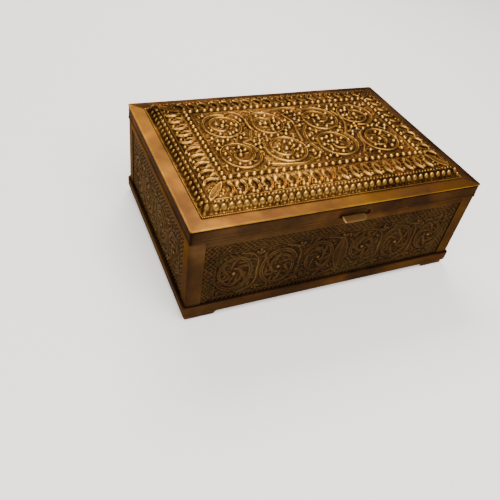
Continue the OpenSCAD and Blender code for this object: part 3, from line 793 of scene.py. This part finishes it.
def prism(outline, axis, low, high):
    """A closed prism from an outline in the other two axes, in mm. It is only used to cut."""
    verts = np.concatenate([np.insert(np.asarray(outline, float), axis, at, axis=1) for at in (low, high)])
    count = len(outline)
    ring = np.arange(count)
    nxt = np.roll(ring, -1)
    faces = np.stack([ring, nxt, nxt + count, ring + count], -1).tolist()
    faces += [ring[::-1].tolist(), (ring + count).tolist()]
    mesh = bpy.data.meshes.new("cutter")
    mesh.from_pydata((verts * MM).tolist(), [], faces)
    mesh.update()
    if sum(p.center.dot(p.normal) * p.area for p in mesh.polygons) < 0:
        mesh.flip_normals()
    return new_object("cutter", mesh)


def arch_height(across):
    """Height of the arch over the thumb lift, at distances across from its middle."""
    arch = LIFT_HIGH[2] + ARCH_RISE - ARCH_RADIUS + np.sqrt(ARCH_RADIUS**2 - across**2)
    return np.maximum(arch, LIFT_HIGH[2] + ARCH_SHOULDER)


def lift_cutter():
    """The arched opening above the thumb lift and the slot that the lift passes through."""
    bottom, top = LIFT_LOW[2], LIFT_HIGH[2]
    across = np.linspace(ARCH_HALF, -ARCH_HALF, 29)
    outline = [(-LIFT_HALF, bottom), (LIFT_HALF, bottom), (LIFT_HALF, top), (ARCH_HALF, top)]
    outline += list(zip(across, arch_height(across))) + [(-ARCH_HALF, top), (-LIFT_HALF, top)]
    return prism([(LIFT_X + u, z) for u, z in outline], 1, SKIRT_LOW[1] - 2, SKIRT_LOW[1] + 3)


def leaf_cutter(leaf, low):
    """Room for one of the lid's hinge leaves."""
    (x0, y0, _), (x1, y1, z1) = box_mm(f"lid_hinge_leaf_{leaf}")
    x0, x1, y0, y1 = x0 - LEAF_GAP, x1 + LEAF_GAP, y0 - 1, y1 + 1
    return prism([(x0, y0), (x1, y0), (x1, y1), (x0, y1)], 2, low - 1, z1 + LEAF_GAP)


def build_niche():
    """The back of the shallow arched niche above the thumb lift."""
    across = np.linspace(-ARCH_HALF + 0.06, ARCH_HALF - 0.06, 44)
    share = np.linspace(0, 1, 12)[:, None]
    bottom = LIFT_HIGH[2] + 0.03
    z = bottom + (arch_height(across) - 0.06 - bottom) * share
    front = SKIRT_HIGH[1] + 0.05
    sag = 0.25 * np.cos(across / ARCH_HALF * math.pi / 2) * np.sin(share * math.pi)
    from_left = (across + ARCH_HALF) / (2 * ARCH_HALF)
    # Painted shadow: the niche is painted darker just above the tongue, most to the left, under the top of
    # the arch, and at its left end
    near_root = held(1.35 - share / 0.34) * held(1.7 - 1.5 * from_left)
    near_top = 0.6 * held((share - 0.72) / 0.28)
    near_left = held(1 - from_left / 0.28)
    wear = held(0.38 - 0.36 * np.maximum(np.maximum(near_top, near_left), near_root))
    sheet_solid("niche_back", joined(LIFT_X + across, front + sag, z), 1, front + 0.7, wear, LID_TRIM)


def build_skirts():
    low, top = SKIRT_LOW[2], SKIRT_HIGH[2]
    bead = HALF_D + SKIRT_LOW[1]
    face = bead + 0.35
    corners = [(face + 0.8, low), (bead, low), (bead, low + 1.5), (face, low + 1.75), (face, low + 2.4),
               (face - 0.2, low + 2.5), (face - 0.2, low + 2.95), (face, low + 3.05), (face, top - 0.75),
               (face + 0.55, top - 0.45), (face + 0.55, top), (face + 0.8, top)]
    section = rounded_section(corners, [0, 0.4, 0.5, 0.08, 0.08, 0.1, 0.1, 0.08, 0.2, 0.05, 0, 0], 3, 0.9)
    for k, side in enumerate(SIDES):
        stations = mitred(side, section, HALF_W, HALF_D, SKIRT_RADIUS, step=1.6)
        x, y, z = np.moveaxis(stations, -1, 0)
        wave = 0.1 * ripple(x + 3 * y, z * 2, 30, 31 + k) + 0.05 * ripple(x - 2 * y, z * 3, 11, 41 + k)
        middle = held((z - low) / 1.5) * held((top - z) / 1.2)
        to_end = HALF_W - 4 - np.abs(x) if side in LONG else HALF_D - 4 - np.abs(y)
        push_in(stations, side, wave * middle * held(to_end / 6))
        proud = held(1 - np.abs(z - low - 0.9) / 0.7) + held(1 - np.abs(z - low - 2.7) / 0.3)
        # Painted shadow: each skirt is painted dark just under the border's edge; the left skirt is painted
        # lighter below and dark over its upper part
        plain = 0.42 - 0.34 * held((z - low - 4.2) / 1.2) if side == "left" else 0.34
        wear = plain + 0.16 * proud + 0.07 * ripple(x + y, z, 12, 51 + k) - 0.42 * held((z - top + 1.2) / 0.7)
        seam = np.hypot(HALF_W - np.abs(x), HALF_D - np.abs(y))
        wear = wear - 0.4 * held(1.5 - seam / 1.4)
        obj = sweep(f"skirt_{side}", stations, wear, LID_TRIM, f"lid_skirt_{side}")
        if side == "front":
            boolean_cut(obj, [lift_cutter()])
        if side == "back":
            boolean_cut(obj, [leaf_cutter(leaf, low) for leaf in ("left", "right")])


def build_thumb_lift():
    """A tongue of thick sheet, round at its outer corners, worn smooth and sloping down outwards."""
    half, front, back = LIFT_HALF, LIFT_LOW[1], LIFT_HIGH[1]
    bottom, top = LIFT_LOW[2], LIFT_HIGH[2]
    bend = np.radians(np.linspace(180, 270, 10))
    halves = []
    for r in (1.3, 3.6):
        corner = joined(-half + r + r * np.cos(bend), front + r + r * np.sin(bend))
        root = joined(-half, np.linspace(back, front + r, 6)[:-1])
        halves.append(np.concatenate([root, corner]))
    left, right = halves
    straight = joined(np.linspace(left[-1, 0], -right[-1, 0], 12)[1:-1], front)
    outline = np.concatenate([left, straight, (right * (-1, 1))[::-1]])
    away = outline - (0.0, back - 0.2)
    length = np.linalg.norm(away, axis=1, keepdims=True)
    rings = []
    edge = 0.45
    for z, shrink in ((bottom, 1.2), (bottom, edge), (bottom + 0.13, 0.13), (bottom + edge, 0),
                      (top - edge, 0), (top - 0.13, 0.13), (top, edge), (top - 0.04, 1.2), (top - 0.1, 2.2)):
        ring = outline - away / length * np.minimum(shrink, length * 0.6)
        ring[:, 1] = np.minimum(ring[:, 1], back)
        rings.append(joined(*ring.T, z))
    stations = np.array(rings)
    x, y, z = np.moveaxis(stations, -1, 0)
    z -= 0.75 * held((SKIRT_LOW[1] - y) / 4.0) * ((z - bottom) / (top - bottom))
    x += LIFT_X
    # Painted highlight: the tongue's left edge is painted brighter
    wear = 0.56 + 0.42 * held(1.25 - (x - LIFT_X + half) / 0.7)
    sweep("thumb_tongue", stations, wear, LID_LIFT, "thumb_lift", 60)


# ---- body: ornamented sheets ----
def acanthus(canvas, cx, cz, rx, rz, start, sense, height):
    """Curling lobes inside a scroll, each from the ring towards its middle, with a frilled edge."""
    for k in range(6):
        angle = math.radians(start) + sense * (0.4 + k * 1.02)
        points = []
        for share, swing in ((0.82, 0.0), (0.66, 0.26), (0.48, 0.42), (0.3, 0.95)):
            turn = angle + sense * swing
            points.append((cx + rx * share * math.cos(turn), cz + rz * share * math.sin(turn)))
        spine = curve(points, 5)
        width = np.interp(np.linspace(0, 1, len(spine)), [0, 0.35, 1], [0.4, 1.05, 0.3])
        canvas.stroke(spine, width, height, groove=height * 0.45)
        for spot in spine[3:-3:3]:
            outward = spot - (cx, cz)
            outward /= max(np.linalg.norm(outward), 0.1)
            canvas.bead(*(spot + outward * 1.25), 0.55, 0.5, height * 0.85)


def woven(canvas, u0, u1, z0, z1, pitch, height, rng):
    """Rows of small uneven strokes, like a basket weave."""
    rows = max(1, int(round((z1 - z0) / pitch)))
    columns = max(1, int(round((u1 - u0) / pitch)))
    for row in range(rows):
        for column in range(columns):
            u = u0 + (column + 0.5) * (u1 - u0) / columns + rng.normal(0, 0.1)
            z = z0 + (row + 0.5) * (z1 - z0) / rows + rng.normal(0, 0.1)
            turn = math.radians(35 if (row + column) % 2 else -35) + rng.normal(0, 0.25)
            reach = 0.46 * pitch * np.array((math.cos(turn), math.sin(turn)))
            canvas.stroke([(u, z) - reach, (u, z) + reach], pitch * 0.24, height * rng.uniform(0.6, 1.1))


def draw_side(half, low, high, seed, scrolls, centre_leaf):
    """Ornament of a sheet seen from outside, u to the right and z up: low scrolls, and woven margins."""
    canvas = Canvas((-half - 1, low - 1), (half + 1, high + 1), 0.25)
    rng = np.random.default_rng(seed)
    left, right = -half + 8.0, half - 8.0
    top, bottom = high - 8.6, low + 3.4
    height = 0.72
    for u0, u1 in ((-half + 0.6, left - 0.8), (right + 0.8, half - 0.6)):
        woven(canvas, u0, u1, low + 0.6, high - 0.8, 1.65, 0.62, rng)
    woven(canvas, left, right, top + 1.0, high - 1.4, 1.65, 0.55, rng)
    for u in np.arange(left + 1, right, 2.9):
        leaf = curve([(u - 1.0, low + 0.5), (u - 0.2, low + 2.0), (u + 1.0, low + 2.8)], 4)
        canvas.stroke(leaf, np.linspace(0.75, 0.3, len(leaf)), 0.5)
    for z in (top + 0.3, high - 0.8, bottom - 0.2):
        canvas.stroke([(left, z), (right, z)], 0.34, 0.5)
    for u in (left - 0.3, right + 0.3):
        canvas.stroke([(u, low + 0.5), (u, high - 0.8)], 0.34, 0.5)
    for cx, cz, radius, start, turns, sense in scrolls:
        line = spiral(cx, cz, radius, radius * 1.18, start, turns, sense)
        canvas.twin(line, np.linspace(0.95, 0.45, len(line)), 0.36, height)
        canvas.bead(cx, cz, 1.3, 1.3, height * 1.45)
        acanthus(canvas, cx, cz, radius, radius * 1.18, start + 40, sense, height * 0.9)
    middle = (top + bottom) / 2
    reach = (top - bottom) / 2 - 1.0
    for a, b in zip(scrolls[:-1], scrolls[1:]):
        gap = (a[0] + b[0]) / 2
        span = (b[0] - a[0]) / 2
        for flip in (-1, 1):
            line = [(gap + span * across, middle + flip * reach * up)
                    for across, up in ((-0.75, 1), (-0.2, 0.82), (0.02, 0.45), (0, 0))]
            stem(canvas, curve(line, 7), flip, height * 0.9)
            turn = 90 * flip + rng.uniform(-25, 25)
            sprig(canvas, gap + 0.5, middle + flip * (reach - 3.6), turn, 3.2, height)
    if centre_leaf is not None:
        count = 31
        spine = joined(centre_leaf, np.linspace(middle - 13.0, middle + 13.0, count))
        width = 0.2 + 4.6 * np.sin(np.linspace(0.03, math.pi - 0.03, count)) ** 0.9
        canvas.stroke(spine, width, height * 0.75)
        canvas.stroke(spine[2:-2], 0.45, height * 1.15)
        for side in (-1, 1):
            canvas.stroke(spine + joined(side * width, 0), 0.4, height * 1.1)
    low_corner, high_corner = (left + 0.8, bottom + 0.4), (right - 0.8, top - 0.4)
    fill_with_leaves(canvas, low_corner, high_corner, 900, 4.2, height * 0.9, rng)
    fill_with_leaves(canvas, low_corner, high_corner, 1400, 2.6, height * 0.8, rng)
    fill_with_buds(canvas, low_corner, high_corner, 1500, 0.5, height * 0.7, rng)
    return canvas


# Scrolls of the body sheets: centre, radius, start angle, turns, sense (mm and degrees)
FRONT_SCROLLS = (
    (-70.5, 32.5, 11.5, 200, 1.7, 1), (-41, 31, 12, 20, 1.7, 1), (-13.5, 32.5, 10.5, 160, 1.6, -1),
    (19, 34, 8.5, 100, 1.5, 1), (46, 32, 12, 200, 1.7, -1), (73.5, 33, 10.5, 20, 1.6, -1),
)
SIDE_SCROLLS = (
    (-42, 32.5, 11, 200, 1.7, 1), (-15, 32, 10.5, 20, 1.7, 1),
    (15, 32, 10.5, 160, 1.7, -1), (42, 32.5, 11, 340, 1.7, -1),
)


def build_sides():
    low_z, high_z = PLINTH_HIGH[2], RAIL_BOTTOM
    for k, side in enumerate(SIDES):
        if side in LONG:
            half, reach, out = FRAME_X - STRIP_W, SHEET_X, SHEET_Y
            scrolls, leaf, gain, count, axis = FRONT_SCROLLS, 3.0, 0.85, 500, 1
        else:
            half, reach, out = FRAME_Y - STRIP_W, SHEET_Y - SHEET_T, SHEET_X
            scrolls, leaf, gain, count, axis = SIDE_SCROLLS, None, 1.25, 340, 0
        canvas = draw_side(half, low_z, high_z, 60 + k, scrolls, leaf)
        h, relief = finish_canvas(canvas, ground=0.15, punch=0.08, soft=0.7, wide=4.5, gain=gain, seed=70 + k)
        u = np.concatenate([[-reach], np.linspace(-half - 0.4, half + 0.4, count), [reach]])
        z = np.concatenate([[SHEET_LOW[2]], np.linspace(low_z - 0.4, high_z + 0.4, 136), [BODY_TOP]])
        gu, gz = np.meshgrid(u, z)
        inside = held((half + 0.2 - np.abs(gu)) / 0.4) * held((gz - low_z + 0.2) / 0.4) \
            * held((high_z + 0.2 - gz) / 0.4)
        lift = sample(h, canvas, gu, gz) * inside
        wear = np.where(inside > 0, sample(relief, canvas, gu, gz), 0.3)
        if side == "back":  # its top edge drops where the hinge leaves pass over it
            for leaf in ("left", "right"):
                (x0, _, _), (x1, _, _) = box_mm(f"body_hinge_leaf_{leaf}")
                gz[-1, (u > x0 - 0.3) & (u < x1 + 0.3)] = BODY_TOP - 0.85
        face = joined(*to_side(side, gu, out + lift), gz)
        back_at = (out - SHEET_T) * {"front": -1, "right": 1, "back": 1, "left": -1}[side]
        sheet_solid(f"side_sheet_{side}", face, axis, back_at, wear, BOX_SHEET, [f"{side}_relief"])


# ---- body: corner strips, rails, plinth ----
def build_corner_strips():
    t = SHEET_T
    # Section of one angle strip: distances in from the two outer faces
    corners = [(STRIP_W, 0), (0, 0), (0, STRIP_W), (t, STRIP_W), (t, t), (STRIP_W, t)]
    section = rounded_section(corners, [0.3, 1.7, 0.3, 0.1, 0, 0.1], 5, 1.5)
    for sx, sy in ((-1, -1), (1, -1), (-1, 1), (1, 1)):
        stations = np.array([[(sx * (FRAME_X - a), sy * (FRAME_Y - b), z) for a, b in section]
                             for z in np.linspace(STRIP_LOW[2], STRIP_HIGH[2], 26)])
        x, y, z = np.moveaxis(stations.copy(), -1, 0)
        dents = np.maximum(0.1 * np.maximum(ripple(x + 2 * y, z * 1.5, 14, 81 + sx + 3 * sy), -0.3), 0)
        stations[..., 0] -= sx * dents * held(1 - (FRAME_X - np.abs(x)) / 0.3)
        stations[..., 1] -= sy * dents * held(1 - (FRAME_Y - np.abs(y)) / 0.3)
        # Painted shade along the rounded outer corner of each strip
        painted_corner_shade = held(1 - np.hypot(FRAME_X - np.abs(x), FRAME_Y - np.abs(y)) / 2.2)
        wear = 0.46 - 0.16 * painted_corner_shade + 0.1 * ripple(x + y, z, 12, 85 + sx + 3 * sy)
        corner = f"{'front' if sy < 0 else 'back'}_{'left' if sx < 0 else 'right'}"
        sweep(f"angle_{corner}", stations, wear, BOX_TRIM, f"corner_strip_{corner}")


def build_rails():
    for side in ("front", "right", "left"):
        low, high = (corner[2] for corner in box_mm(f"top_rail_{side}"))
        half, out = (FRAME_X, FRAME_Y) if side in LONG else (FRAME_Y, FRAME_X)
        half = half - STRIP_W
        corners = [(0, low), (0, high), (SHEET_T, high), (SHEET_T, low)]
        section = rounded_section(corners, [0.3, 0.3, 0, 0], 3, 0.8)
        stations = np.array([[(*to_side(side, u, out - a), z) for a, z in section]
                             for u in np.linspace(-half, half, int(half))])
        x, y, z = np.moveaxis(stations, -1, 0)
        wear = 0.4 + 0.09 * ripple(x + y, z * 2, 15, 91) + 0.14 * held(1 - np.abs(z - low - 0.2) / 0.4)
        sweep(f"rail_{side}", stations, wear, BOX_TRIM, f"top_rail_{side}")


def build_plinth():
    low, top = PLINTH_LOW[2], PLINTH_HIGH[2]
    depth = PLINTH_HIGH[1] - PLINTH_LOW[1]
    section = rounded_section([(depth, low), (0, low), (0, top), (depth, top)], [0, 2.0, 0.8, 0], 6, 0.8)
    for k, side in enumerate(SIDES):
        stations = mitred(side, section, PLINTH_X, PLINTH_Y, PLINTH_RADIUS, step=1.6, arc=8)
        x, y, z = np.moveaxis(stations.copy(), -1, 0)
        middle = held((z - low) / 2) * held((top - z) / 1.0)
        dents = np.maximum(0.1 * ripple(x + 2 * y, z * 1.5, 24, 95 + k), -0.02) * middle
        to_corner = np.abs(PLINTH_X - np.abs(x)) + np.abs(PLINTH_Y - np.abs(y))
        push_in(stations, side, dents * held((to_corner - 8) / 6))
        # Painted shade along the plinth's top edge, where it meets the body
        wear = 0.38 + 0.1 * ripple(x + y, z, 16, 99 + k) - 0.1 * held(1 - np.abs(z - top) / 0.9)
        sweep(f"plinth_strip_{side}", stations, wear, BOX_TRIM, f"plinth_{side}")


# ---- CAD nodes that stay, with better finishes ----
KEPT_NODES = (
    (cedar_x, "front_board back_board floor_board lid_board lid_batten_front lid_batten_back"),
    (cedar_y, "left_board right_board lid_batten_left lid_batten_right"),
    (plate_bronze, "bottom_plate top_rail_back foot_front_left foot_front_right foot_back_left"
                   " foot_back_right"),
    (hinge_brass, "body_hinge_leaf_left body_hinge_leaf_right lid_hinge_leaf_left lid_hinge_leaf_right"
                  " hinge_pin_left hinge_pin_right body_leaf_screws lid_leaf_screws"),
    (steel, "foot_screws"),
)


def finish_kept_nodes():
    for material, names in KEPT_NODES:
        for name in names.split():
            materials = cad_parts[name].data.materials
            materials.clear()
            materials.append(material)


# ---- floor, light and camera ----
def build_floor():
    s = Surface("pale_floor")
    colour = s.mix(s.noise(3), (0.915, 0.912, 0.908, 1.0), (0.945, 0.942, 0.938, 1.0))
    # The floor's emission is painted light: it glows a little to stay white
    s.put(s.shader, {"Base Color": colour, "Roughness": 0.9, "Emission Color": (1.0, 1.0, 1.0, 1.0),
                     "Emission Strength": 0.4})
    mesh = bpy.data.meshes.new("studio_floor")
    verts = [(-4.0, -4.0, 0.0), (4.0, -4.0, 0.0), (4.0, 4.0, 0.0), (-4.0, 4.0, 0.0)]
    mesh.from_pydata(verts, [], [(0, 1, 2, 3)])
    mesh.materials.append(s.material)
    new_object("studio_floor", mesh)


def area_light(name, place, target, size, power, colour):
    data = bpy.data.lights.new(name, "AREA")
    data.shape = "RECTANGLE"
    data.size, data.size_y = size
    data.energy = power
    data.color = colour
    light = new_object(name, data)
    light.location = place
    light.rotation_euler = (Vector(target) - Vector(place)).to_track_quat("-Z", "Y").to_euler()


def build_light():
    world = bpy.context.scene.world or bpy.data.worlds.new("World")
    bpy.context.scene.world = world
    world.use_nodes = True
    background = world.node_tree.nodes["Background"]
    background.inputs["Color"].default_value = (1.0, 0.98, 0.95, 1.0)
    background.inputs["Strength"].default_value = 0.32
    area_light("key", (0.15, 0.68, 0.84), (-0.06, 0, 0.07), (0.6, 0.35), 11.5, (1.0, 0.9, 0.74))
    area_light("side", (-0.55, -0.3, 0.62), (-0.05, -0.04, 0.07), (0.5, 0.5), 2.5, (1.0, 0.93, 0.8))
    area_light("fill", (0.05, -0.62, 1.05), (0, 0, 0.04), (1.0, 1.0), 20, (1.0, 0.95, 0.88))


def build_camera():
    data = bpy.data.cameras.new("camera")
    data.sensor_width = 36.0
    data.lens = 38.31
    data.clip_start = 0.01
    forward = Vector((0.3677, 0.6453, -0.6696)).normalized()
    right = forward.cross(Vector((0.1707, 0.661, 0.7307))).normalized()
    place = Matrix((right, right.cross(forward), -forward)).transposed().to_4x4()
    place.translation = (-0.17456, -0.26484, 0.2536)
    camera = new_object("camera", data)
    camera.matrix_world = place
    bpy.context.scene.camera = camera


for build in (build_lid_panel, build_border, build_milled_wire, build_niche, build_skirts, build_thumb_lift,
              build_sides, build_corner_strips, build_rails, build_plinth, finish_kept_nodes, build_floor,
              build_light, build_camera):
    build()
